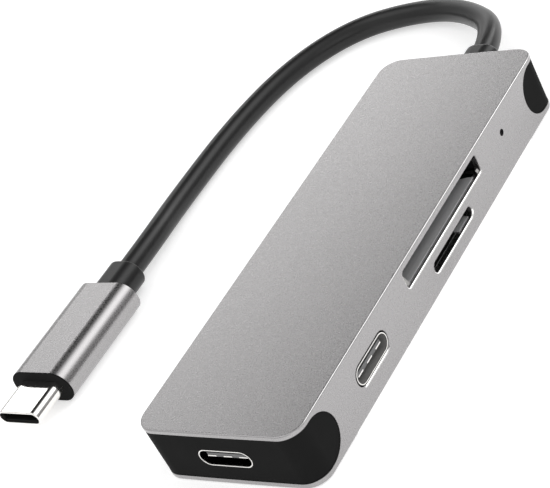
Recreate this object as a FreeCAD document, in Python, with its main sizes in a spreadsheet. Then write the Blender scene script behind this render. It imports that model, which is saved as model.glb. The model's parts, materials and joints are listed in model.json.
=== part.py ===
import FreeCAD, Part
import math
import os

# USB hub: aluminium tube body, two black end pieces, two USB-C sockets, SD and microSD sockets,
# a short captive cable and a USB-C plug. All sizes in millimetres.
# Frame: origin under the middle of the body on its resting face, +X to the side with the card
# slots, -Y to the end with the USB-C socket, +Y to the cable end, +Z up.

SIZES = {
    "body_width": 26.8, "body_length": 80.2, "body_height": 9.4,
    "corner_radius": 3.2, "end_bow": 0.08, "edge_radius": 0.25,
    "top_wall": 0.65, "plate_wall": 0.85, "side_wall": 1.1, "seam_gap": 0.05, "cap_inset": 0.06,
    "notch_depth": 7.8, "notch_reach": 4.1, "cap_length": 7.0, "cap_wall": 1.3,
    "port_width": 8.64, "port_height": 2.86, "port_wall": 0.15, "port_length": 7.35,
    "tongue_width": 6.69, "tongue_thick": 0.7, "tongue_reach": 4.95, "slot_edge": 0.28,
    "front_port_z": 4.8, "side_port_y": -21.2, "side_port_z": 4.75, "side_port_inset": 0.12,
    "sd_slot_y": 3.7, "sd_slot_length": 25.0, "sd_slot_z": 6.95, "sd_slot_height": 2.8,
    "sd_slot_radius": 0.6, "sd_depth": 23.0,
    "msd_slot_y": 4.0, "msd_slot_length": 12.8, "msd_slot_z": 3.2, "msd_slot_height": 1.7,
    "msd_depth": 14.5, "slider_width": 1.0,
    "led_y": 23.95, "led_z": 6.1, "led_hole": 1.05,
    "board_thick": 0.8, "board_z": 4.35, "board_width": 23.6, "board_length": 64.0,
    "cable_diameter": 3.85, "collar_width": 6.0, "collar_height": 4.5, "collar_length": 6.3,
    "collar_z": 4.75,
    "plug_x": -44.2, "plug_z": 2.75, "plug_width": 11.5, "plug_height": 5.5,
    "sleeve_front_y": -26.9, "sleeve_rear_y": -7.1, "sleeve_wall": 0.55,
    "plug_face": 0.25,
    "relief_width": 6.5, "relief_height": 4.9, "relief_length": 5.5,
    "tip_width": 8.25, "tip_height": 2.4, "tip_wall": 0.25, "tip_reach": 6.5,
}

# Points the cable turns at, from the blind end of its bore in the collar to the plug, in mm.
# It leaves level, drops to the surface in a U-turn and lies on it up to the plug.
FLOOR_Z = 1.97
CABLE_POINTS = [
    (0.0, 41.2, 4.75), (0.0, 52.5, 4.75), (-12.1, 63.1, 2.55), (-23.0, 65.2, FLOOR_Z),
    (-34.4, 61.8, FLOOR_Z), (-42.1, 51.5, FLOOR_Z), (-45.4, 36.0, FLOOR_Z),
    (-45.7, 16.0, FLOOR_Z), (-44.2, 5.2, 2.75), (-44.2, -1.58, 2.75),
]
BEND_SHARE = 0.45

doc = FreeCAD.newDocument("usb_hub")
sheet = doc.addObject("Spreadsheet::Sheet", "Dims")
for row, (alias, value) in enumerate(SIZES.items(), start=1):
    sheet.set(f"A{row}", alias)
    sheet.set(f"B{row}", f"{value}")
    sheet.setAlias(f"B{row}", alias)
doc.recompute()

finished = []


def size(alias):
    """A value read from the sheet."""
    return float(sheet.get(alias))


def bind(obj, prop, formula):
    """Bind a property to a formula whose words are sheet aliases."""
    words = sorted(SIZES, key=len, reverse=True)
    text = ""
    rest = str(formula)
    while rest:
        hit = next((word for word in words if rest.startswith(word)), None)
        if hit and not (text and text[-1].isalpha()):
            text += "Dims." + hit
            rest = rest[len(hit):]
        else:
            text += rest[0]
            rest = rest[1:]
    obj.setExpression(prop, text)


def place(obj, x, y, z):
    """Bind a primitive's position to three formulas."""
    for axis, formula in zip("xyz", (x, y, z)):
        bind(obj, f"Placement.Base.{axis}", formula)


def box(name, x, y, z, length, width, height):
    """A Part::Box with its low corner at x, y, z, all of them formulas."""
    obj = doc.addObject("Part::Box", name)
    bind(obj, "Length", length)
    bind(obj, "Width", width)
    bind(obj, "Height", height)
    place(obj, x, y, z)
    return obj


def mid_box(name, x, y, z, length, width, height):
    """A Part::Box centred on x, y, z."""
    return box(name, f"({x}) - ({length}) / 2", f"({y}) - ({width}) / 2",
               f"({z}) - ({height}) / 2", length, width, height)


def rod(name, x, y, z, radius, height, turn=None):
    """A Part::Cylinder from x, y, z along +Z, or along the axis that turn gives."""
    obj = doc.addObject("Part::Cylinder", name)
    if turn is not None:
        obj.Placement = FreeCAD.Placement(FreeCAD.Vector(), turn)
    bind(obj, "Radius", radius)
    bind(obj, "Height", height)
    place(obj, x, y, z)
    return obj


def fuse(name, parts):
    """A Part::MultiFuse of several objects."""
    obj = doc.addObject("Part::MultiFuse", name)
    obj.Shapes = parts
    return obj


def group(name, parts):
    """Separate solids kept as one object."""
    obj = doc.addObject("Part::Compound", name)
    obj.Links = parts
    return obj


def cut(name, base, tool):
    """A Part::Cut, checked later for having removed something."""
    obj = doc.addObject("Part::Cut", name)
    obj.Base = base
    obj.Tool = tool
    return obj


def common(name, parts):
    """A Part::MultiCommon of several objects."""
    obj = doc.addObject("Part::MultiCommon", name)
    obj.Shapes = parts
    return obj


ALONG_X = FreeCAD.Rotation(FreeCAD.Vector(0, 1, 0), 90)
ALONG_Y = FreeCAD.Rotation(FreeCAD.Vector(1, 0, 0), -90)


def stadium_y(name, x, y, z, width, height, length):
    """A bar with a stadium section, wide along X, from y along +Y."""
    radius = f"({height}) / 2"
    reach = f"(({width}) - ({height})) / 2"
    ends = [
        rod(f"{name}_side{i}", f"({x}) {sign} {reach}", y, z, radius, length, ALONG_Y)
        for i, sign in enumerate("+-")
    ]
    core = box(f"{name}_core", f"({x}) - {reach}", y, f"({z}) - {radius}",
               f"2 * {reach}", length, height)
    return fuse(name, [*ends, core])


def stadium_x(name, x, y, z, width, height, length):
    """A bar with a stadium section, wide along Y, from x along +X."""
    radius = f"({height}) / 2"
    reach = f"(({width}) - ({height})) / 2"
    ends = [
        rod(f"{name}_side{i}", x, f"({y}) {sign} {reach}", z, radius, length, ALONG_X)
        for i, sign in enumerate("+-")
    ]
    core = box(f"{name}_core", x, f"({y}) - {reach}", f"({z}) - {radius}",
               length, f"2 * {reach}", height)
    return fuse(name, [*ends, core])


def upright_edges(obj, radius):
    """Fillet entries for the edges that run along Z."""
    doc.recompute()
    entries = []
    for index, edge in enumerate(obj.Shape.Edges, start=1):
        first, last = edge.Vertexes[0].Point, edge.Vertexes[-1].Point
        if abs(first.x - last.x) < 1e-6 and abs(first.y - last.y) < 1e-6:
            if abs(first.z - last.z) > 1e-6:
                entries.append((index, radius, radius))
    return entries


def bowed_block(name, inset, low, high):
    """The body's plan outline, inset all round, between two heights."""
    half = size("body_length") / 2
    bow = size("end_bow")
    bow_radius = ((size("body_width") / 2) ** 2 + bow ** 2) / (2 * bow)
    tall = f"({high}) - ({low})"
    blank = box(f"{name}_blank", f"-body_width / 2 + {inset}", f"-body_length / 2 + {inset}", low,
                f"body_width - 2 * {inset}", f"body_length - 2 * {inset}", tall)
    bows = [
        rod(f"{name}_bow{i}", 0, f"{sign * (half - bow_radius)}", low,
            f"{bow_radius} - {inset}", tall)
        for i, sign in enumerate((-1, 1))
    ]
    ends = common(f"{name}_ends", [blank, *bows])
    doc.recompute()
    rounded = doc.addObject("Part::Fillet", f"{name}_rounded")
    rounded.Base = ends
    corner = size("corner_radius") - inset
    rounded.Edges = upright_edges(ends, corner)
    return rounded


def eased(name, base, radius):
    """Round the loops at the edge of the top and bottom faces."""
    doc.recompute()
    bounds = base.Shape.BoundBox
    obj = doc.addObject("Part::Fillet", name)
    obj.Base = base
    obj.Edges = [
        (index, radius, radius)
        for index, edge in enumerate(base.Shape.Edges, start=1)
        if edge.BoundBox.ZLength < 1e-4
        and min(abs(edge.BoundBox.ZMin - bounds.ZMin), abs(edge.BoundBox.ZMin - bounds.ZMax)) < 1e-4
    ]
    return obj


def end_notch(name, sign, grow):
    """The rounded cut seen from the side at one end: half an ellipse, open at the end."""
    half_height = f"(body_height - plate_wall - top_wall) / 2 - {grow}"
    reach = size("notch_reach")
    depth = size("notch_depth") - grow
    middle = sign * (size("body_length") / 2 - depth + reach)
    oval = doc.addObject("Part::Ellipse", f"{name}_oval")
    bind(oval, "MajorRadius", "notch_reach")
    bind(oval, "MinorRadius", half_height)
    turn = FreeCAD.Rotation(FreeCAD.Vector(0, 1, 0), FreeCAD.Vector(0, 0, 1),
                            FreeCAD.Vector(1, 0, 0), "XYZ")
    oval.Placement = FreeCAD.Placement(FreeCAD.Vector(), turn)
    place(oval, "-body_width", middle, "(body_height + plate_wall - top_wall) / 2")
    slab = doc.addObject("Part::Extrusion", f"{name}_slab")
    slab.Base = oval
    slab.DirMode = "Custom"
    slab.Dir = FreeCAD.Vector(1, 0, 0)
    bind(slab, "LengthFwd", "2 * body_width")
    slab.Solid = True
    start = middle if sign > 0 else middle - 8
    mouth = box(f"{name}_mouth", "-body_width", start, f"plate_wall + {grow}",
                "2 * body_width", 8, f"2 * ({half_height})")
    return fuse(name, [slab, mouth])


def keep(obj, label):
    """Mark an object as one of the finished sub-parts."""
    obj.Label = label
    finished.append(obj)
    return obj


# --- Body tube -------------------------------------------------------------------------------
outer = eased("shell_outer", bowed_block("shell_plan", 0, "0", "body_height"),
              size("edge_radius"))
bore = box("shell_bore", "-body_width / 2 + side_wall", "-body_length", "plate_wall",
           "body_width - 2 * side_wall", "2 * body_length", "body_height - plate_wall - top_wall")
sd_reach = "sd_slot_length / 2 - sd_slot_radius"
sd_rise = "sd_slot_height / 2 - sd_slot_radius"
sd_corners = [
    rod(f"sd_corner{i}", "body_width / 2 - 2", f"sd_slot_y {sy} ({sd_reach})",
        f"sd_slot_z {sz} ({sd_rise})", "sd_slot_radius", 4, ALONG_X)
    for i, (sy, sz) in enumerate((("-", "-"), ("-", "+"), ("+", "-"), ("+", "+")))
]
sd_slot = fuse("sd_slot", [
    *sd_corners,
    mid_box("sd_slot_long", "body_width / 2", "sd_slot_y", "sd_slot_z", 4, "sd_slot_length",
            "sd_slot_height - 2 * sd_slot_radius"),
    mid_box("sd_slot_tall", "body_width / 2", "sd_slot_y", "sd_slot_z", 4,
            "sd_slot_length - 2 * sd_slot_radius", "sd_slot_height"),
])
shell_cuts = fuse("shell_cuts", [
    bore,
    end_notch("notch_front", -1, 0),
    end_notch("notch_rear", 1, 0),
    sd_slot,
    stadium_x("msd_slot", "body_width / 2 - 2", "msd_slot_y", "msd_slot_z", "msd_slot_length",
              "msd_slot_height", 4),
    stadium_x("side_port_slot", "body_width / 2 - 2", "side_port_y", "side_port_z",
              "port_width + 0.4", "port_height + 0.4", 4),
    rod("led_drill", "body_width / 2 - 2", "led_y", "led_z", "led_hole / 2", 4, ALONG_X),
])
shell_tube = cut("shell_tube", outer, shell_cuts)
doc.recompute()
shell_eased = doc.addObject("Part::Fillet", "shell_eased")
shell_eased.Base = shell_tube
shell_eased.Edges = [
    (index, size("slot_edge"), size("slot_edge"))
    for index, edge in enumerate(shell_tube.Shape.Edges, start=1)
    if edge.BoundBox.XMin > size("body_width") / 2 - 1e-4
    and -28 < edge.BoundBox.YMin and edge.BoundBox.YMax < 20
]
keep(shell_eased, "housing_shell")

# --- End pieces ------------------------------------------------------------------------------


def end_cap(label, sign, opening):
    """A hollow black end piece that fills the notch and closes the tube."""
    plan = bowed_block(f"{label}_plan", size("cap_inset"), "plate_wall + seam_gap",
                       "body_height - top_wall - seam_gap")
    notch = end_notch(f"{label}_notch", sign, size("seam_gap"))
    skin = common(f"{label}_skin", [plan, notch])
    near = "body_length / 2 - cap_length"
    core_y = near if sign > 0 else "-body_length / 2"
    inner = common(f"{label}_inner", [
        bowed_block(f"{label}_plug", size("cap_inset"), "plate_wall + seam_gap",
                    "body_height - top_wall - seam_gap"),
        box(f"{label}_span", "-body_width / 2 + side_wall + seam_gap", core_y,
            "plate_wall + seam_gap", "body_width - 2 * side_wall - 2 * seam_gap", "cap_length",
            "body_height - plate_wall - top_wall - 2 * seam_gap"),
    ])
    hollow_y = f"({near} - 4)" if sign > 0 else "-body_length / 2 + cap_wall + end_bow"
    hollow = box(f"{label}_hollow", "-body_width / 2 + side_wall + cap_wall", hollow_y,
                 "plate_wall + 0.9", "body_width - 2 * side_wall - 2 * cap_wall",
                 "cap_length + 4 - cap_wall - end_bow", "body_height - plate_wall - top_wall - 1.8")
    solid = fuse(f"{label}_solid", [skin, inner])
    tools = fuse(f"{label}_tools", [hollow, opening])
    return keep(cut(f"{label}_cut", solid, tools), label)


end_cap("front_end_cap", -1,
        stadium_y("front_mouth", 0, "-body_length / 2 - 1", "front_port_z", "port_width + 0.1",
                  "port_height + 0.1", 6))
end_cap("rear_end_cap", 1,
        stadium_y("rear_mouth", 0, "body_length / 2 - 4", "collar_z", "collar_width - 1.6",
                  "collar_height - 1.6", 6))

# --- USB-C sockets ---------------------------------------------------------------------------


def socket(prefix, stadium, at, z, inward):
    """Metal shell, plastic tongue and contact strips of a USB-C socket, open towards at."""
    def bar(name, shift, width, height, length):
        start = f"({at}) + ({shift})" if inward > 0 else f"({at}) - ({shift}) - ({length})"
        if stadium is stadium_y:
            return stadium(name, 0, start, z, width, height, length)
        return stadium(name, start, "side_port_y", z, width, height, length)

    def slab(name, shift, along, rise, width, thick, length):
        start = f"({at}) + ({shift})" if inward > 0 else f"({at}) - ({shift}) - ({length})"
        low = f"({z}) + ({rise}) - ({thick}) / 2"
        if stadium is stadium_y:
            return box(name, f"({along}) - ({width}) / 2", start, low, width, length, thick)
        return box(name, start, f"side_port_y + ({along}) - ({width}) / 2", low, length, width,
                   thick)

    tube = bar(f"{prefix}_tube", 0, "port_width", "port_height", "port_length")
    mouth = bar(f"{prefix}_mouth", -0.5, "port_width - 2 * port_wall",
                "port_height - 2 * port_wall", "port_length + 0.3")
    keep(cut(f"{prefix}_can", tube, mouth), f"{prefix}_shell")
    root = bar(f"{prefix}_root", "port_length - 1.8", "port_width - 2 * port_wall - 0.04",
               "port_height - 2 * port_wall - 0.04", 1.56)
    blade = slab(f"{prefix}_blade", "port_length - 1.8 - tongue_reach", 0, 0, "tongue_width",
                 "tongue_thick", "tongue_reach + 0.2")
    strips = []
    for side in (-1, 1):
        for index in range(12):
            strips.append(slab(f"{prefix}_strip{side + 1}_{index}",
                               "port_length - 1.8 - tongue_reach + 0.4",
                               0.5 * (index - 5.5), side * 0.375, 0.26, 0.05, 3.2))
    for index in (-1, 0, 1):
        strips.append(slab(f"{prefix}_edge{index + 1}", "port_length - 1.87 - tongue_reach",
                           2.6 * index, -0.15, 1.4, 0.2, 0.06))
    keep(fuse(f"{prefix}_plastic", [root, blade]), f"{prefix}_tongue")
    keep(group(f"{prefix}_strips", strips), f"{prefix}_contacts")


socket("front_port", stadium_y, "-body_length / 2 + cap_inset - 0.02", "front_port_z", 1)
socket("side_port", stadium_x, "body_width / 2 - side_port_inset", "side_port_z", -1)

# --- SD socket, above the board --------------------------------------------------------------
sd_face = "body_width / 2 - side_wall - 0.15"
sd_low = "sd_slot_z - sd_slot_height / 2 + 0.07"
sd_roof = "body_height - top_wall - 0.1"
sd_floor = box("sd_floor", f"{sd_face} - sd_depth", "sd_slot_y - sd_slot_length / 2 + 0.5", sd_low,
               "sd_depth + 0.6", "sd_slot_length - 2.3", 0.12)
SLANT_ANGLE = 14
SLANT_LENGTH = 8
slant_drop = SLANT_LENGTH * math.tan(math.radians(SLANT_ANGLE))
sd_slant = doc.addObject("Part::Box", "sd_slant")
sd_slant.Placement = FreeCAD.Placement(
    FreeCAD.Vector(), FreeCAD.Rotation(FreeCAD.Vector(0, 0, 1), SLANT_ANGLE))
sd_slant.Length = SLANT_LENGTH + 1
sd_slant.Width = 4
sd_slant.Height = 1
place(sd_slant, f"{sd_face} - {SLANT_LENGTH}",
      f"sd_slot_y + sd_slot_length / 2 - 1.8 - {slant_drop}", f"{sd_low} - 0.5")
sd_feet = [
    box(f"sd_foot{number}", f"{sd_face} - sd_depth + 2", edge, "board_z + board_thick + 0.02", 3.0,
        0.15, f"{sd_low} - board_z - board_thick")
    for number, edge in enumerate(("sd_slot_y - sd_slot_length / 2 + 0.5",
                                   "sd_slot_y + sd_slot_length / 2 - 2.0"))
]
keep(fuse("sd_sheet", [cut("sd_slanted", sd_floor, sd_slant), *sd_feet]), "sd_plate")
sd_rail_low = f"{sd_low} + 0.18"
sd_rail_tall = f"{sd_roof} - ({sd_rail_low})"
rail_near = box("sd_rail_near", f"{sd_face} - sd_depth", "sd_slot_y - sd_slot_length / 2 - 1.0",
                sd_rail_low, "sd_depth", 0.9, sd_rail_tall)
rail_far = box("sd_rail_far", f"{sd_face} - sd_depth", "sd_slot_y + sd_slot_length / 2 + 0.1",
               sd_rail_low, "sd_depth", 0.9, sd_rail_tall)
sd_back = box("sd_back", f"{sd_face} - sd_depth", "sd_slot_y - sd_slot_length / 2 - 0.5",
              sd_rail_low, 2.2, "sd_slot_length + 1", sd_rail_tall)
keep(fuse("sd_plastic", [rail_near, rail_far, sd_back]), "sd_frame")
keep(group("sd_fingers", [
    box(f"sd_finger{i}", f"{sd_face} - sd_depth + 2.22", f"sd_slot_y + {2.5 * (i - 4)} - 0.6",
        f"{sd_low} + 1.1", 6.0, 1.2, 0.2)
    for i in range(9)
]), "sd_contacts")
near_blade = "sd_slot_y - sd_slot_length / 2 + 0.12"
far_blade = "sd_slot_y + sd_slot_length / 2 - 0.95"


def leaning_lip(name, x, y, z, width, height):
    """A thin lead-in lip whose foot is near the slot's mouth and whose head leans inward."""
    obj = doc.addObject("Part::Box", name)
    obj.Placement = FreeCAD.Placement(
        FreeCAD.Vector(), FreeCAD.Rotation(FreeCAD.Vector(0, 1, 0), -30))
    obj.Length = 0.12
    obj.Width = width
    obj.Height = height
    place(obj, x, y, z)
    return obj


keep(group("sd_blades", [
    fuse("sd_blade_near", [
        box("near_blade_arm", f"{sd_face} - 2", near_blade, f"{sd_low} + 0.78", 2.7, 0.15, 1.0),
        leaning_lip("near_blade_lip", f"{sd_face} + 1.05", near_blade, f"{sd_low} + 0.36", 0.62,
                    1.95),
    ]),
    fuse("sd_blade_far", [
        box("far_blade_arm", f"{sd_face} - 2", far_blade, f"{sd_low} + 0.02", 2.9, 0.6, 0.1),
        leaning_lip("far_blade_lip", f"{sd_face} + 0.85", far_blade, f"{sd_low} + 0.06", 0.6,
                    0.42),
    ]),
]), "sd_switch")

# --- microSD socket, under the board ---------------------------------------------------------
msd_face = "body_width / 2 - side_wall - 0.15"
msd_top = "board_z - 0.05"
msd_low = "msd_slot_z - msd_slot_height / 2 - 0.05"
msd_near = "msd_slot_y - msd_slot_length / 2 - 0.6"
msd_far = "msd_slot_y + msd_slot_length / 2 + 0.4"
msd_span = "msd_slot_length + 1"
msd_lip_y = "msd_slot_y + msd_slot_length / 2 - 4.0"
msd_tall = f"{msd_top} - ({msd_low})"
keep(fuse("msd_plastic", [
    box("msd_rail_near", f"{msd_face} - msd_depth", msd_near, msd_low, "msd_depth", 0.7, msd_tall),
    box("msd_rail_far", f"{msd_face} - msd_depth", f"{msd_far} - 0.7", msd_low, "msd_depth", 0.7,
        msd_tall),
    box("msd_back", f"{msd_face} - msd_depth", msd_near, msd_low, 0.9, msd_span, msd_tall),
    box("msd_floor", f"{msd_face} - msd_depth", msd_near, msd_low, "msd_depth",
        f"{msd_lip_y} - 0.1 - ({msd_near})", 0.08),
]), "microsd_frame")
msd_lip = fuse("msd_lip", [
    box("msd_lip_riser", f"{msd_face} - 2.4", msd_lip_y, f"{msd_low} - 0.14", 0.1, 3.3, 0.34),
    box("msd_lip_flat", f"{msd_face} - 2.4", msd_lip_y, f"{msd_low} + 0.1", 3.0, 3.3, 0.1),
])
msd_sheet = fuse("msd_sheet", [
    box("msd_sheet_flat", f"{msd_face} - msd_depth", msd_near, f"{msd_low} - 0.14", "msd_depth",
        msd_span, 0.12),
    msd_lip,
])
keep(cut("msd_sheet_drilled", msd_sheet,
         rod("msd_lip_hole", f"{msd_face} - 1.1", f"{msd_lip_y} + 2.3", f"{msd_low} + 0.05", 0.3,
             0.3)), "microsd_cover")
keep(group("msd_fingers", [
    box(f"msd_finger{i}", f"{msd_face} - msd_depth + 0.92", f"{msd_near} + {1.4 + 1.1 * i}",
        f"{msd_top} - 0.35", 5.0, 0.7, 0.12)
    for i in range(8)
]), "microsd_contacts")
carriage_y = f"{msd_far} - 1.0 - slider_width"
keep(fuse("msd_slider", [
    box("msd_slider_bar", f"{msd_face} - 7.2", carriage_y, f"{msd_low} + 0.3", 5.6,
        "slider_width", 1.0),
    box("msd_slider_hook", f"{msd_face} - 7.2", f"{carriage_y} - 1.2", f"{msd_low} + 0.3", 1.1,
        1.3, 1.0),
]), "microsd_carriage")


def coil_spring(label, start, end, y, z, coil_radius, wire_radius, turns):
    """A coil spring along X, swept as a helix; its shape is set before its placement."""
    pitch = (end - start) / turns
    helix = Part.makeHelix(pitch, end - start, coil_radius)
    profile = Part.Wire([Part.Circle(FreeCAD.Vector(coil_radius, 0, 0),
                                     FreeCAD.Vector(0, 1, 0), wire_radius).toShape()])
    pipe = Part.Wire(helix.Edges).makePipeShell([profile], True, True)
    obj = doc.addObject("Part::Feature", label)
    obj.Shape = pipe
    obj.Placement = FreeCAD.Placement(FreeCAD.Vector(start, y, z),
                                      FreeCAD.Rotation(FreeCAD.Vector(0, 1, 0), 90))
    return keep(obj, label)


msd_face_x = size("body_width") / 2 - size("side_wall") - 0.15
msd_low_z = size("msd_slot_z") - size("msd_slot_height") / 2 - 0.05
carriage_mid = (size("msd_slot_y") + size("msd_slot_length") / 2 + 0.4 - 1.0
                - size("slider_width") / 2)
coil_spring("microsd_spring", msd_face_x - size("msd_depth") + 1.0, msd_face_x - 7.3,
            carriage_mid, msd_low_z + 0.8, 0.42, 0.08, 9)

# --- Main board and what is on it ------------------------------------------------------------
board_blank = fuse("board_blank", [
    mid_box("board_main", 0, 0, "board_z + board_thick / 2", "board_width", "board_length",
            "board_thick"),
    box("board_tab", -7.5, "-board_length / 2 - 5.5", "board_z", 15, 6, "board_thick"),
])
board_cuts = fuse("board_cuts", [
    mid_box("board_front_gap", 0, "-body_length / 2 + port_length / 2", "board_z", 9.3,
            "port_length + 0.6", 4),
    mid_box("board_side_gap", "body_width / 2 - side_port_inset - port_length / 2", "side_port_y",
            "board_z", "port_length + 0.6", "port_width + 0.4", 4),
])
keep(cut("board_sheet", board_blank, board_cuts), "main_board")
top_z = "board_z + board_thick + 0.01"


def chip(label, x, y, wide, deep, tall):
    """A package on the board's upper face, with a row of leads along two sides."""
    body = box(f"{label}_body", x - wide / 2, y - deep / 2, f"{top_z} + 0.08", wide, deep, tall)
    leads = [
        box(f"{label}_lead{side}_{i}", x + side * (wide / 2 - 0.1) - 0.3,
            y - deep / 2 + 0.4 + i * 1.0, top_z, 0.6, 0.4, 0.12)
        for side in (-1, 1) for i in range(int(deep))
    ]
    return keep(fuse(f"{label}_pack", [body, *leads]), label)


chip("hub_controller", -5.2, -20.5, 7.0, 7.0, 0.85)
chip("card_reader_chip", -5.0, 24.2, 5.0, 5.0, 0.85)
chip("power_chip", 4.2, 27.0, 3.0, 3.0, 0.8)
pad_top = "body_height - top_wall - 0.02"
keep(mid_box("pad_sheet", -5.2, -20.5, f"({top_z} + 0.95 + {pad_top}) / 2", 6.6, 6.6,
             f"{pad_top} - ({top_z}) - 0.95"), "thermal_pad")
keep(mid_box("crystal_can", -5.2, -13.2, f"{top_z} + 0.4", 3.2, 2.5, 0.8), "crystal")
keep(group("coil_blocks", [
    mid_box("coil_one", 8.4, 29.6, f"{top_z} + 0.6", 3.0, 3.0, 1.2),
    mid_box("coil_two", -10.0, -28.0, f"{top_z} + 0.6", 2.6, 2.6, 1.2),
]), "coils")
CAPACITOR_SPOTS = [(-10.2, -23.0), (-10.2, -20.5), (-10.2, -18.0), (0.4, -24.5), (0.4, -22.3),
                   (0.4, -20.1), (-9.4, 22.0), (-9.4, 24.2), (-9.4, 26.4), (0.2, 23.0),
                   (0.2, 25.0), (4.2, 22.4)]
keep(group("capacitor_set", [
    mid_box(f"capacitor{i}", x, y, f"{top_z} + 0.3", 0.8, 1.6, 0.6)
    for i, (x, y) in enumerate(CAPACITOR_SPOTS)
]), "capacitors")
keep(mid_box("led_block", "board_width / 2 - 0.9", "led_y", f"{top_z} + 0.4", 1.2, 1.6, 0.8),
     "status_led")
keep(rod("pipe_rod", "board_width / 2 - 0.25", "led_y", "led_z", "led_hole / 2 - 0.05",
         "body_width / 2 - board_width / 2 - 0.75", ALONG_X), "light_pipe")
keep(mid_box("film", -5.6, 0, "plate_wall + 0.15", 10.0, "board_length - 2", 0.15),
     "insulating_sheet")
LEAD_OFFSETS = (-1.05, -0.35, 0.35, 1.05)
keep(group("lead_set", [
    rod(f"lead{i}", offset, "board_length / 2 + 0.02", "collar_z", 0.28,
        "body_length / 2 - board_length / 2 - 0.3", ALONG_Y)
    for i, offset in enumerate(LEAD_OFFSETS)
]), "cable_leads")

# --- Collar, cable and plug ------------------------------------------------------------------


def softened(name, base, plane, radius):
    """Round the edges that lie in one plane across Y."""
    doc.recompute()
    obj = doc.addObject("Part::Fillet", name)
    obj.Base = base
    obj.Edges = [
        (index, radius, radius) for index, edge in enumerate(base.Shape.Edges, start=1)
        if abs(edge.BoundBox.YMin - plane) < 1e-4 and abs(edge.BoundBox.YMax - plane) < 1e-4
    ]
    return obj


collar_start = "body_length / 2 - cap_inset"
collar_bar = stadium_y("collar_bar", 0, collar_start, "collar_z", "collar_width",
                       "collar_height", "collar_length")
collar_round = softened("collar_round", collar_bar,
                        size("body_length") / 2 - size("cap_inset") + size("collar_length"), 0.9)
collar_bore = rod("collar_bore", CABLE_POINTS[0][0], CABLE_POINTS[0][1], "collar_z",
                  "cable_diameter / 2 + 0.02", 8, ALONG_Y)
keep(cut("collar_cut", collar_round, collar_bore), "cable_collar")


def cable_route(points):
    """Straight runs joined by tangent arcs; returns the wire, its length and the arc radii."""
    vectors = [FreeCAD.Vector(*point) for point in points]
    edges = []
    radii = []
    start = vectors[0]
    for before, corner, after in zip(vectors, vectors[1:], vectors[2:]):
        back = (before - corner).normalize()
        ahead = (after - corner).normalize()
        turn = math.pi - back.getAngle(ahead)
        shorter = min((before - corner).Length, (after - corner).Length)
        trim = BEND_SHARE * shorter
        radius = trim / math.tan(turn / 2)
        first = corner + back * trim
        last = corner + ahead * trim
        toward = (back + ahead).normalize()
        middle = corner + toward * (math.hypot(radius, trim) - radius)
        edges.append(Part.LineSegment(start, first).toShape())
        edges.append(Part.Arc(first, middle, last).toShape())
        radii.append(radius)
        start = last
    edges.append(Part.LineSegment(start, vectors[-1]).toShape())
    wire = Part.Wire(edges)
    return wire, wire.Length, radii


route, route_length, bend_radii = cable_route(CABLE_POINTS)
cable_radius = size("cable_diameter") / 2
section = Part.Wire([Part.Circle(FreeCAD.Vector(*CABLE_POINTS[0]), FreeCAD.Vector(0, 1, 0),
                                 cable_radius).toShape()])
tube = route.makePipeShell([section], True, True)
cable = doc.addObject("Part::Feature", "cable_tube")
cable.Shape = tube
cable.Placement = FreeCAD.Placement()
keep(cable, "cable")
print("cable length", round(route_length, 2), "bend radii", [round(r, 1) for r in bend_radii])
print("cable volume ratio", round(tube.Volume / (math.pi * cable_radius ** 2 * route_length), 4))

relief_bar = stadium_y("relief_bar", "plug_x", "sleeve_rear_y + 0.01", "plug_z", "relief_width",
                       "relief_height", "relief_length")
keep(softened("relief_round", relief_bar,
              size("sleeve_rear_y") + 0.01 + size("relief_length"), 0.35), "plug_strain_relief")
sleeve_bar = stadium_y("sleeve_bar", "plug_x", "sleeve_front_y + plug_face", "plug_z",
                       "plug_width", "plug_height", "sleeve_rear_y - sleeve_front_y - plug_face")
sleeve_bore = stadium_y("sleeve_bore", "plug_x", "sleeve_front_y - 1", "plug_z",
                        "plug_width - 2 * sleeve_wall", "plug_height - 2 * sleeve_wall",
                        "sleeve_rear_y - sleeve_front_y + 2")
keep(cut("sleeve_tube", sleeve_bar, sleeve_bore), "plug_sleeve")
core_face = stadium_y("core_face", "plug_x", "sleeve_front_y", "plug_z", "plug_width - 0.04",
                      "plug_height - 0.04", "plug_face - 0.02")
core_bar = fuse("core_bar", [
    core_face,
    stadium_y("core_body", "plug_x", "sleeve_front_y", "plug_z",
              "plug_width - 2 * sleeve_wall - 0.06", "plug_height - 2 * sleeve_wall - 0.06",
              "sleeve_rear_y - sleeve_front_y - 0.05"),
])
core_tools = fuse("core_tools", [
    stadium_y("core_mouth", "plug_x", "sleeve_front_y - 1", "plug_z", "tip_width + 0.06",
              "tip_height + 0.06", 6.5),
    mid_box("core_room", "plug_x", "sleeve_front_y + 10", "plug_z", 8.4, 11.0, 2.6),
])
keep(cut("core_block", core_bar, core_tools), "plug_core")
tip_bar = stadium_y("tip_bar", "plug_x", "sleeve_front_y - tip_reach", "plug_z", "tip_width",
                    "tip_height", "tip_reach + 5.4")
tip_bore = stadium_y("tip_bore", "plug_x", "sleeve_front_y - tip_reach - 1", "plug_z",
                     "tip_width - 2 * tip_wall", "tip_height - 2 * tip_wall", "tip_reach + 8")
keep(cut("tip_tube", softened("tip_round", tip_bar,
                              size("sleeve_front_y") - size("tip_reach"), 0.15), tip_bore),
     "plug_shell")
insert_bar = stadium_y("insert_bar", "plug_x", "sleeve_front_y - tip_reach + 0.35", "plug_z",
                       "tip_width - 2 * tip_wall - 0.04", "tip_height - 2 * tip_wall - 0.04",
                       "tip_reach + 4.9")
insert_slot = box("insert_slot", "plug_x - 3.45", "sleeve_front_y - tip_reach - 1",
                  "plug_z - 0.62", 6.9, "tip_reach + 1.3", 1.24)
keep(cut("insert_block", insert_bar, insert_slot), "plug_insert")
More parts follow.
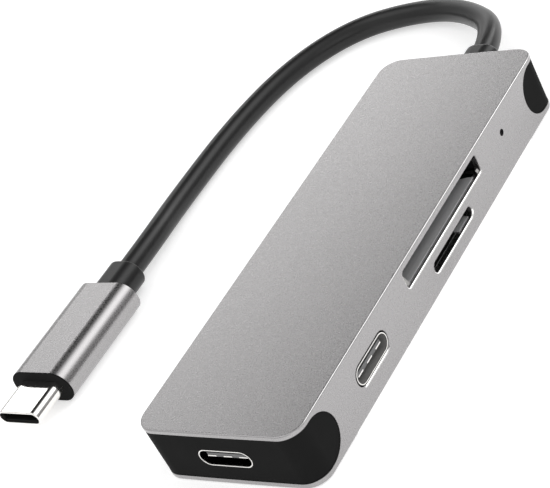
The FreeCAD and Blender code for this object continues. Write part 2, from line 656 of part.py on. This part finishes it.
tip_strips = [
    box(f"tip_strip{side + 1}_{i}", f"plug_x + {0.5 * (i - 5.5) - 0.13}",
        "sleeve_front_y - tip_reach + 1.4", f"plug_z + {side * 0.56 - 0.04}", 0.26, 4.0, 0.08)
    for side in (-1, 1) for i in range(12)
]
keep(group("tip_strip_set", tip_strips), "plug_contacts")
keep(mid_box("small_board", "plug_x", "sleeve_front_y + 10", "plug_z", 7.6, 8.6, 0.6),
     "plug_board")

# --- Checks and export -----------------------------------------------------------------------
doc.recompute()
problems = []
for obj in doc.Objects:
    if "Invalid" in obj.State or "Error" in obj.State:
        problems.append(f"{obj.Label}: state {obj.State}")
    if hasattr(obj, "Shape") and (obj.Shape.isNull() or not obj.Shape.isValid()):
        problems.append(f"{obj.Label}: shape not valid")
    if obj.TypeId == "Part::Cut" and obj.Base.Shape.Volume - obj.Shape.Volume < 1e-3:
        problems.append(f"{obj.Label}: its cut removed nothing")
for problem in problems:
    print("PROBLEM", problem)

os.makedirs("parts", exist_ok=True)
for obj in finished:
    bounds = obj.Shape.BoundBox
    print(f"{obj.Label:20s} vol {obj.Shape.Volume:9.2f} solids {len(obj.Shape.Solids):2d} "
          f"x {bounds.XMin:7.2f} {bounds.XMax:7.2f} y {bounds.YMin:7.2f} {bounds.YMax:7.2f} "
          f"z {bounds.ZMin:6.2f} {bounds.ZMax:6.2f}")
    obj.Shape.exportStep(f"parts/{obj.Label}.step")
print(len(finished), "parts written,", len(problems), "problems")
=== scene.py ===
import json
import math
import bmesh
import bpy
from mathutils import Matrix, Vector


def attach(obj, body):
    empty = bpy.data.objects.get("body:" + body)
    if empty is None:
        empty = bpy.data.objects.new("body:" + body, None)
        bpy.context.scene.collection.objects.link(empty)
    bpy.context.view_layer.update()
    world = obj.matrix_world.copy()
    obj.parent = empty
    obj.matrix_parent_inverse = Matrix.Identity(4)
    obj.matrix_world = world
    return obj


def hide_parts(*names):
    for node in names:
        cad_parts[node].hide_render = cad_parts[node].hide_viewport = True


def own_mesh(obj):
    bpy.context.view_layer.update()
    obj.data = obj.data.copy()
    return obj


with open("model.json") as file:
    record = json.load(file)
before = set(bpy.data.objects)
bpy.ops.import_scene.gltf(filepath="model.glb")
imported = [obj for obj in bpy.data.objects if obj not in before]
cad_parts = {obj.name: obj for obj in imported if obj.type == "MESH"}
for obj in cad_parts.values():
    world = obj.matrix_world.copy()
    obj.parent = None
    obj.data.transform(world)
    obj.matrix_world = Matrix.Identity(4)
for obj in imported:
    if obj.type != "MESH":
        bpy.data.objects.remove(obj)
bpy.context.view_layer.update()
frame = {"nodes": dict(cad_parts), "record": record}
nodes = frame["nodes"]
MM = 0.001

# --- Camera ----------------------------------------------------------------------------------
CAMERA_PLACE = Vector((148.24, -157.02, 141.76)) * MM
CAMERA_TURN = [math.radians(angle) for angle in (53.196, 24.268, 29.173)]
FOCAL_LENGTH = 118.5
SENSOR_WIDTH = 36.0
FRAMING_SHIFT = (-0.0477, 0.1167)
CLIP_RANGE = (0.005, 20.0)


def add_camera():
    """The fixed viewpoint, above the front corner on the card-slot side."""
    data = bpy.data.cameras.new("view")
    data.lens = FOCAL_LENGTH
    data.sensor_width = SENSOR_WIDTH
    data.sensor_fit = "HORIZONTAL"
    data.shift_x, data.shift_y = FRAMING_SHIFT
    data.clip_start, data.clip_end = CLIP_RANGE
    camera = bpy.data.objects.new("view", data)
    camera.location = CAMERA_PLACE
    camera.rotation_euler = CAMERA_TURN
    bpy.context.scene.collection.objects.link(camera)
    bpy.context.scene.camera = camera


# --- Node trees ------------------------------------------------------------------------------
# A Mix node's sockets share their names, so these are their numbers for each data type: the
# share, the two values and the result.
MIX_SOCKETS = {"FLOAT": (0, 2, 3, 0), "RGBA": (0, 6, 7, 2)}
# The part of 0 to 1 that noise mostly stays in.
NOISE_SPREAD = (0.3, 0.7)


class Graph:
    """Builds nodes in one tree. A value is a number, a colour or another node's output."""

    def __init__(self, tree):
        self.tree = tree

    def node(self, kind, **values):
        """A new node; each value sets its input of that name, or else its property."""
        made = self.tree.nodes.new(kind)
        for key, value in values.items():
            if key in made.inputs:
                made.inputs[key].default_value = value
            else:
                setattr(made, key, value)
        return made

    def feed(self, value, socket):
        """Link an output to a socket, or set the socket to a plain value."""
        if isinstance(value, bpy.types.NodeSocket):
            self.tree.links.new(value, socket)
        else:
            socket.default_value = value

    def split(self, vector):
        """The three parts of a vector."""
        parts = self.node("ShaderNodeSeparateXYZ")
        self.feed(vector, parts.inputs["Vector"])
        return parts.outputs

    def math(self, operation, *values):
        """One Math node."""
        made = self.node("ShaderNodeMath", operation=operation)
        for socket, value in zip(made.inputs, values):
            self.feed(value, socket)
        return made.outputs["Value"]

    def mixed(self, kind, share, first, second):
        """Two values of one kind, mixed; share is the weight of the second."""
        made = self.node("ShaderNodeMix", data_type=kind)
        *inputs, result = MIX_SOCKETS[kind]
        for index, value in zip(inputs, (share, first, second)):
            self.feed(value, made.inputs[index])
        return made.outputs[result]

    def mapped(self, value, source, target):
        """A value moved from the source range to the target range, and held inside it."""
        made = self.node("ShaderNodeMapRange")
        self.feed(value, made.inputs["Value"])
        for name, end in zip(("From Min", "From Max", "To Min", "To Max"), (*source, *target)):
            self.feed(end, made.inputs[name])
        return made.outputs["Result"]


class Shader(Graph):
    """Builds one material round its Principled shader."""

    def __init__(self, name):
        self.material = bpy.data.materials.new(name)
        self.material.use_nodes = True
        super().__init__(self.material.node_tree)
        self.surface = self.tree.nodes["Principled BSDF"]
        self.coords = self.node("ShaderNodeTexCoord").outputs["Object"]

    def set(self, **values):
        """Uniform values, set on the shader's own sockets."""
        for key, value in values.items():
            self.surface.inputs[key.replace("_", " ")].default_value = value

    def noise(self, scale, detail=3.0, stretch=None):
        """Noise in object space; scale is in features per metre."""
        place = self.coords
        if stretch:
            mapping = self.node("ShaderNodeMapping", Scale=stretch)
            self.feed(place, mapping.inputs["Vector"])
            place = mapping.outputs["Vector"]
        texture = self.node("ShaderNodeTexNoise", Scale=scale, Detail=detail)
        self.feed(place, texture.inputs["Vector"])
        return texture.outputs["Fac"]

    def ramp(self, source, low, high, spread=NOISE_SPREAD):
        """Turn a 0 to 1 value into a range of numbers or colours, reached at spread's ends."""
        made = self.node("ShaderNodeValToRGB")
        ends = made.color_ramp.elements
        for end, value, place in zip(ends, (low, high), spread):
            end.position = place
            end.color = (value, value, value, 1) if isinstance(value, float) else (*value, 1)
        self.feed(source, made.inputs["Fac"])
        return made.outputs["Color"]

    def colour(self, source, low, high, spread=NOISE_SPREAD):
        self.feed(self.ramp(source, low, high, spread), self.surface.inputs["Base Color"])

    def rough(self, source, low, high):
        self.feed(self.ramp(source, low, high), self.surface.inputs["Roughness"])

    def bump(self, source, depth):
        """Relief of a depth in metres."""
        made = self.node("ShaderNodeBump", Distance=depth, Strength=1.0)
        self.feed(source, made.inputs["Height"])
        self.feed(made.outputs["Normal"], self.surface.inputs["Normal"])


# --- Body metal ------------------------------------------------------------------------------
# Here and below, noise scales are in features per metre, and depths in metres.
BLAST_GRAIN = 3600.0
BLAST_GRAIN_DETAIL = 5.0
BLAST_PITS = 9000.0
BLAST_DEPTH = 0.0000035
BODY_MOTTLE = 45.0
SOFT_DETAIL = 2.0
MOTTLE_SHARE = 0.3
BLASTED_TONES = ((0.362, 0.354, 0.356), (0.408, 0.398, 0.401))
BLASTED_ROUGH = (0.25, 0.32)
# Painted highlight: the near-white base colour laid on the edges that catch the light.
EDGE_HIGHLIGHT_TINT = (0.95, 0.94, 0.93, 1)
MACHINED_ROUGH = 0.12

# The machined edges with a painted highlight, in the frame's metres. The long top edges are where
# |x| + z passes
# EDGE_SUM within the body's width. Their painted highlight is only partial.
BODY_REACH = 0.02
EDGE_SUM = 0.022639
EDGE_SHARE = 0.3
# The eased edges of the side's openings are in an x range, away from the ends and the top. The
# ones given a painted highlight are those below LOW_EDGES_TOP, and the SD slot's lower and front
# edges, each given as a height or y with its tolerance. The SD slot begins at y = SD_START.
EASED_X = (0.01314, 0.01339)
EASED_END = 0.03
EASED_TOP = 0.009
LOW_EDGES_TOP = 0.00315
SD_LOW_EDGE = (0.00541, 0.0002)
SD_FRONT_EDGE = (-0.00895, 0.00025)
SD_START = -0.0093


def machined_highlight_share(shader):
    """1 for painted highlight on the eased edges, EDGE_SHARE on the long top edges, 0 elsewhere;
    the same share sets the machined roughness.
    """
    place = shader.split(shader.coords)
    across = shader.math("ABSOLUTE", place["X"])
    top = shader.math("GREATER_THAN", shader.math("ADD", across, place["Z"]), EDGE_SUM)
    top = shader.math("MULTIPLY", top, shader.math("LESS_THAN", across, BODY_REACH))
    top = shader.math("MULTIPLY", top, EDGE_SHARE)
    sd_low = shader.math("MULTIPLY", shader.math("COMPARE", place["Z"], *SD_LOW_EDGE),
                         shader.math("GREATER_THAN", place["Y"], SD_START))
    low = shader.math("MAXIMUM", shader.math("LESS_THAN", place["Z"], LOW_EDGES_TOP), sd_low)
    low = shader.math("MAXIMUM", low, shader.math("COMPARE", place["Y"], *SD_FRONT_EDGE))
    low = shader.math("MULTIPLY", low, shader.math("LESS_THAN", place["Z"], EASED_TOP))
    eased = shader.math("MULTIPLY", shader.math("GREATER_THAN", place["X"], EASED_X[0]),
                        shader.math("LESS_THAN", place["X"], EASED_X[1]))
    along = shader.math("ABSOLUTE", place["Y"])
    eased = shader.math("MULTIPLY", eased, shader.math("LESS_THAN", along, EASED_END))
    return shader.math("MAXIMUM", top, shader.math("MULTIPLY", eased, low))


def body_metal():
    """Fine bead-blasted anodised aluminium with a faint mottle, and machined edges with a painted
    highlight.
    """
    shader = Shader("anodised_aluminium")
    shader.set(Metallic=1.0)
    grain = shader.noise(BLAST_GRAIN, BLAST_GRAIN_DETAIL)
    mottle = shader.noise(BODY_MOTTLE, SOFT_DETAIL)
    machined_and_highlit = machined_highlight_share(shader)
    blasted = shader.ramp(shader.mixed("FLOAT", MOTTLE_SHARE, grain, mottle), *BLASTED_TONES)
    # The machined edges are painted near white as a highlight, not only made smoother.
    tint = shader.mixed("RGBA", machined_and_highlit, blasted, EDGE_HIGHLIGHT_TINT)
    shader.feed(tint, shader.surface.inputs["Base Color"])
    satin = shader.ramp(grain, *BLASTED_ROUGH)
    rough = shader.mixed("FLOAT", machined_and_highlit, satin, MACHINED_ROUGH)
    shader.feed(rough, shader.surface.inputs["Roughness"])
    shader.bump(shader.noise(BLAST_PITS), BLAST_DEPTH)
    return shader.material


# --- Other materials -------------------------------------------------------------------------
MOULD_GRAIN = 6000.0
MOULD_PATCHES = 150.0
MOULD_DEPTH = 0.000006
MOULD_ROUGH_SWING = (-0.05, 0.06)
ROLLED_LINES = 3000.0
ROLLED_DEPTH = 0.0000006
ROLLED_ROUGH_SWING = (-0.04, 0.06)
ALONG_Y = (1.0, 0.05, 1.0)
# Where the socket shells' bright rims start, and where the side one's matt inside does. Inside the
# rims the shells get painted shade.
PORT_RIM_X = 0.01315
PORT_RIM_Y = -0.03995
SIDE_INSIDE_X = 0.0055
SIDE_INSIDE_SHADE = 0.2
# Painted shade inside the shells, then the bare nickel of the rims.
PORT_SHADE_AND_RIM_TONES = ((0.03, 0.03, 0.03), (0.9, 0.885, 0.86))
PORT_ROUGH = (0.16, 0.26)
RESIN_HAZE = 2500.0
RESIN_DEPTH = 0.000002
RESIN_TONES = ((0.1, 0.105, 0.11), (0.16, 0.165, 0.17))
RESIN_ROUGH = (0.18, 0.3)
RESIN_IOR = 1.5
RESIN_CLEARNESS = 0.6
JACKET_GRAIN = 7000.0
JACKET_GRAIN_DETAIL = 4.0
JACKET_DUST = 220.0
JACKET_DEPTH = 0.000006
JACKET_TONES = ((0.009, 0.009, 0.009), (0.014, 0.014, 0.014))
JACKET_ROUGH = (0.28, 0.36)
JACKET_GLOSS = 0.34


def plastic(name, dark, light, rough, gloss=0.5):
    """Moulded plastic with a fine spark-eroded texture."""
    shader = Shader(name)
    grain = shader.noise(MOULD_GRAIN)
    patches = shader.noise(MOULD_PATCHES, SOFT_DETAIL)
    shader.set(Specular_IOR_Level=gloss)
    shader.colour(patches, dark, light)
    shader.rough(grain, *[rough + swing for swing in MOULD_ROUGH_SWING])
    shader.bump(grain, MOULD_DEPTH)
    return shader.material


def bright_metal(name, dark, light, rough, stretch=None, metal=1.0):
    """Rolled or plated metal with faint drawing lines; less than 1 metal is a matt tin coat."""
    shader = Shader(name)
    shader.set(Metallic=metal)
    lines = shader.noise(ROLLED_LINES, stretch=stretch)
    shader.colour(lines, dark, light)
    shader.rough(lines, *[rough + swing for swing in ROLLED_ROUGH_SWING])
    shader.bump(lines, ROLLED_DEPTH)
    return shader.material


def port_metal():
    """Nickel shell of a socket: bright at the rim, with painted shade inside, dark in the front
    one and matt in the side one.
    """
    shader = Shader("port_steel")
    lines = shader.noise(ROLLED_LINES)
    place = shader.split(shader.coords)
    rim = shader.math("MAXIMUM", shader.math("GREATER_THAN", place["X"], PORT_RIM_X),
                      shader.math("LESS_THAN", place["Y"], PORT_RIM_Y))
    inside = shader.math("MULTIPLY", shader.math("GREATER_THAN", place["X"], SIDE_INSIDE_X),
                         shader.math("LESS_THAN", place["X"], PORT_RIM_X))
    # Away from the rims the shell is painted dark as shade; the side one's inside is painted a
    # matt grey shade.
    tone = shader.math("MAXIMUM", rim, shader.math("MULTIPLY", inside, SIDE_INSIDE_SHADE))
    shader.colour(tone, *PORT_SHADE_AND_RIM_TONES, spread=(0.0, 1.0))
    metal = shader.math("SUBTRACT", 1.0, inside)
    shader.feed(metal, shader.surface.inputs["Metallic"])
    shader.rough(lines, *PORT_ROUGH)
    shader.bump(lines, ROLLED_DEPTH)
    return shader.material


def clear_resin():
    """Moulded light pipe and lamp body, slightly hazed."""
    shader = Shader("clear_resin")
    haze = shader.noise(RESIN_HAZE, SOFT_DETAIL)
    shader.set(IOR=RESIN_IOR, Transmission_Weight=RESIN_CLEARNESS)
    shader.colour(haze, *RESIN_TONES)
    shader.rough(haze, *RESIN_ROUGH)
    shader.bump(haze, RESIN_DEPTH)
    return shader.material


def rubber():
    """Soft satin cable jacket with a little dust."""
    shader = Shader("cable_rubber")
    grain = shader.noise(JACKET_GRAIN, JACKET_GRAIN_DETAIL)
    dust = shader.noise(JACKET_DUST)
    shader.set(Specular_IOR_Level=JACKET_GLOSS)
    shader.colour(dust, *JACKET_TONES)
    shader.rough(grain, *JACKET_ROUGH)
    shader.bump(grain, JACKET_DEPTH)
    return shader.material


MATERIALS = {
    "anodised_aluminium": body_metal(),
    "black_plastic": plastic("black_plastic", (0.0105, 0.0105, 0.0105), (0.0125, 0.0125, 0.0125),
                             rough=0.55, gloss=0.02),
    "bright_steel": bright_metal("bright_steel", (0.86, 0.845, 0.82), (0.93, 0.915, 0.89),
                                 rough=0.12),
    "port_steel": port_metal(),
    "tongue_plastic": plastic("tongue_plastic", (0.11, 0.11, 0.112), (0.15, 0.15, 0.153),
                              rough=0.4),
    "contact_metal": bright_metal("contact_metal", (0.6, 0.52, 0.36), (0.7, 0.6, 0.42),
                                  rough=0.25),
    "dull_steel": bright_metal("dull_steel", (0.45, 0.45, 0.455), (0.51, 0.51, 0.515),
                               rough=0.45, stretch=ALONG_Y, metal=0.3),
    "board_laminate": plastic("board_laminate", (0.006, 0.012, 0.009), (0.01, 0.018, 0.013),
                              rough=0.35),
    "chip_resin": plastic("chip_resin", (0.02, 0.02, 0.021), (0.03, 0.03, 0.031), rough=0.55),
    "tan_ceramic": plastic("tan_ceramic", (0.3, 0.22, 0.13), (0.4, 0.3, 0.19), rough=0.4),
    "clear_resin": clear_resin(),
    "grey_pad": plastic("grey_pad", (0.2, 0.22, 0.25), (0.26, 0.28, 0.31), rough=0.7),
    "black_film": plastic("black_film", (0.01, 0.01, 0.01), (0.014, 0.014, 0.014), rough=0.3),
    "lead_jacket": plastic("lead_jacket", (0.16, 0.03, 0.025), (0.24, 0.05, 0.04), rough=0.45),
    "cable_rubber": rubber(),
}


def dress_cad_nodes():
    """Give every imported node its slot's full material."""
    for part in frame["record"]["subparts"]:
        mesh = nodes[part["node"]].data
        mesh.materials.clear()
        mesh.materials.append(MATERIALS[part["material_slot"]])


# --- Cable -----------------------------------------------------------------------------------
# The route in millimetres; FLOOR_Z is the height of the cable's middle where it lies flat.
FLOOR_Z = 1.97
CABLE_POINTS = [
    (0.0, 41.2, 4.75), (0.0, 52.5, 4.75), (-12.1, 63.1, 2.55), (-23.0, 65.2, FLOOR_Z),
    (-34.4, 61.8, FLOOR_Z), (-42.1, 51.5, FLOOR_Z), (-45.4, 36.0, FLOOR_Z),
    (-45.7, 16.0, FLOOR_Z), (-44.2, 5.2, 2.75), (-44.2, -1.58, 2.75),
]
CABLE_DIAMETER = 3.85
STEPS_ALONG = 24
STEPS_ROUND = 10


def add_cable():
    """The cable as one smooth curve with the route's points as control points."""
    data = bpy.data.curves.new("cable_line", "CURVE")
    data.dimensions = "3D"
    line = data.splines.new("NURBS")
    line.points.add(len(CABLE_POINTS) - 1)
    for point, place in zip(line.points, CABLE_POINTS):
        point.co = (*[value * MM for value in place], 1.0)
    line.order_u = 3
    line.use_endpoint_u = True
    line.resolution_u = STEPS_ALONG
    data.bevel_depth = CABLE_DIAMETER / 2 * MM
    data.bevel_resolution = STEPS_ROUND
    data.use_fill_caps = True
    piece = bpy.data.objects.new("cable_jacket", data)
    bpy.context.scene.collection.objects.link(piece)
    data.materials.append(MATERIALS["cable_rubber"])
    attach(piece, "hub")
    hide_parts("cable")


def add_spring():
    """The carriage's return spring, as the hub's own copy of the CAD mesh."""
    source = nodes["microsd_spring"]
    piece = bpy.data.objects.new("return_spring", source.data.copy())
    piece.matrix_world = source.matrix_world
    bpy.context.scene.collection.objects.link(piece)
    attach(piece, "hub")
    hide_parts("microsd_spring")
    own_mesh(piece)


# --- Stage -----------------------------------------------------------------------------------
FLOOR_REACH = 3.0
FLOOR_DROP = 0.0001
FLOOR_COLOUR = (0.72, 0.72, 0.72, 1)
FLOOR_ROUGH = 0.9
FLOOR_GLOW = 0.5
# Brightness of the backdrop round the Y axis, as (share of the turn, level): from straight down,
# over the cable side, the top and the card-slot side. Soft white, a dark strip overhead, and a
# bright panel on the card-slot side.
BACKDROP_STOPS = [(0.0, 0.29), (0.328, 0.16), (0.3556, 0.98), (0.369, 0.01), (0.483, 0.01),
                  (0.561, 0.73), (0.62, 0.73), (0.67, 0.11)]
# The y of the direction from which the panels fade in, out of the first stop's level.
PANEL_FADE = (0.0, 0.35)
# The backdrop's strength rises with the y of the direction.
BACKDROP_POWER = 3.7
DEPTH_RANGE = (0.45, 0.8)
DEPTH_GAIN = (0.75, 1.35)
LAMP_SIZE = 0.5
# Each lamp's place in metres and its power in watts.
LAMPS = {"key": ((-0.25, -0.1, 0.6), 0.5), "fill": ((0.5, -0.4, 0.3), 0.4)}


def add_floor():
    """A wide pale surface, lit a little from within so that shadows stay faint."""
    mesh = bpy.data.meshes.new("floor")
    form = bmesh.new()
    bmesh.ops.create_grid(form, x_segments=1, y_segments=1, size=FLOOR_REACH)
    form.to_mesh(mesh)
    form.free()
    floor = bpy.data.objects.new("floor", mesh)
    floor.location.z = -FLOOR_DROP
    bpy.context.scene.collection.objects.link(floor)
    shader = Shader("pale_floor")
    shader.set(Base_Color=FLOOR_COLOUR, Roughness=FLOOR_ROUGH, Emission_Color=(1, 1, 1, 1),
               Emission_Strength=FLOOR_GLOW)
    mesh.materials.append(shader.material)


def add_lamp(name, place, power):
    """A round soft lamp aimed at the origin."""
    data = bpy.data.lights.new(name, "AREA")
    data.shape = "DISK"
    data.size = LAMP_SIZE
    data.energy = power
    lamp = bpy.data.objects.new(name, data)
    lamp.location = place
    lamp.rotation_euler = (-Vector(place)).to_track_quat("-Z", "Y").to_euler()
    bpy.context.scene.collection.objects.link(lamp)


def add_backdrop():
    """A studio surround: its brightness changes with direction round the Y axis."""
    world = bpy.data.worlds.new("studio")
    bpy.context.scene.world = world
    world.use_nodes = True
    graph = Graph(world.node_tree)
    direction = graph.split(graph.node("ShaderNodeTexCoord").outputs["Generated"])
    angle = graph.math("ARCTAN2", direction["X"], direction["Z"])
    panels = graph.node("ShaderNodeValToRGB")
    stops = panels.color_ramp.elements
    while len(stops) < len(BACKDROP_STOPS):
        stops.new(0.5)
    for stop, (place, level) in zip(stops, BACKDROP_STOPS):
        stop.position = place
        stop.color = (level, level, level, 1)
    graph.feed(graph.mapped(angle, (-math.pi, math.pi), (0.0, 1.0)), panels.inputs["Fac"])
    levels = (BACKDROP_STOPS[0][1], panels.outputs["Color"])
    strengths = [BACKDROP_POWER * gain for gain in DEPTH_GAIN]
    surround = graph.tree.nodes["Background"].inputs
    graph.feed(graph.mapped(direction["Y"], PANEL_FADE, levels), surround["Color"])
    graph.feed(graph.mapped(direction["Y"], DEPTH_RANGE, strengths), surround["Strength"])


def light_scene():
    """Soft studio light, shown without a tone curve."""
    add_backdrop()
    for name, (place, power) in LAMPS.items():
        add_lamp(name, place, power)
    bpy.context.scene.view_settings.view_transform = "Standard"


add_camera()
dress_cad_nodes()
add_cable()
add_spring()
add_floor()
light_scene()
